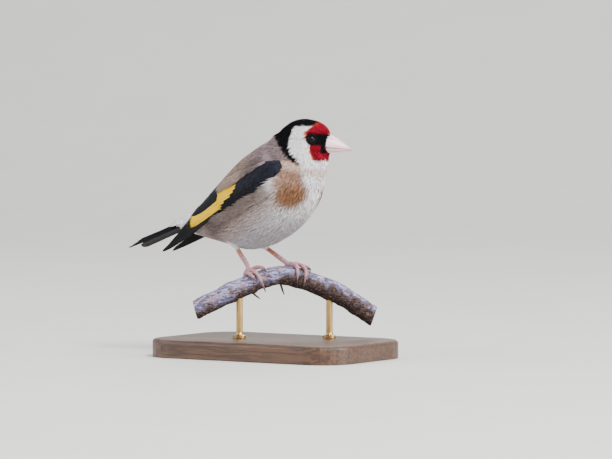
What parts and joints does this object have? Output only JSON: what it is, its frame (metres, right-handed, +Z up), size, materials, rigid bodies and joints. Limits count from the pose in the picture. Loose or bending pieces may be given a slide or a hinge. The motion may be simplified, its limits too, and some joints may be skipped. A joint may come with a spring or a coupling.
{
  "type": "european goldfinch model",
  "caption": "Life-size still model of a European goldfinch gripping a cut length of branch, on a flat base with short upright rods.",
  "frame": {"origin": "centre of the stand base's flat underside", "axes": "+Z up; +X the way the bird's body faces, along the base's length; +Y the bird's left"},
  "size_m": [0.1287, 0.066, 0.1072],
  "materials": {
    "head_feathers": "short dense feathers, matt: red face, black crown, white cheek",
    "body_feathers": "soft feathers, matt: brown back, white belly, tan breast patches",
    "eye": "polished, near black",
    "bill": "horn, satin, pinkish ivory",
    "wing_feathers": "flight feathers, black with a yellow bar",
    "tail_feathers": "flight feathers, black with pale spots",
    "leg_skin": "scaled skin, pinkish",
    "claw": "horn, satin",
    "bark": "rough grey bark, cut ends bare",
    "base_wood": "stained and waxed",
    "rod_brass": "turned, satin"
  },
  "bodies": {
    "root": {"head": "head_feathers", "neck": "body_feathers", "torso": "body_feathers", "rump": "body_feathers", "eye_right": "eye", "eye_left": "eye", "bill_upper": "bill", "bill_lower": "bill", "wing_right": "wing_feathers", "wing_left": "wing_feathers", "tail": "tail_feathers", "leg_right": "leg_skin", "leg_left": "leg_skin", "perch": "bark", "stand_base": "base_wood", "stand_rod_1": "rod_brass", "stand_rod_2": "rod_brass", "claw_right_inner": "claw", "claw_right_middle": "claw", "claw_right_outer": "claw", "claw_right_hind": "claw", "claw_left_inner": "claw", "claw_left_middle": "claw", "claw_left_outer": "claw", "claw_left_hind": "claw"}
  },
  "joints": []
}
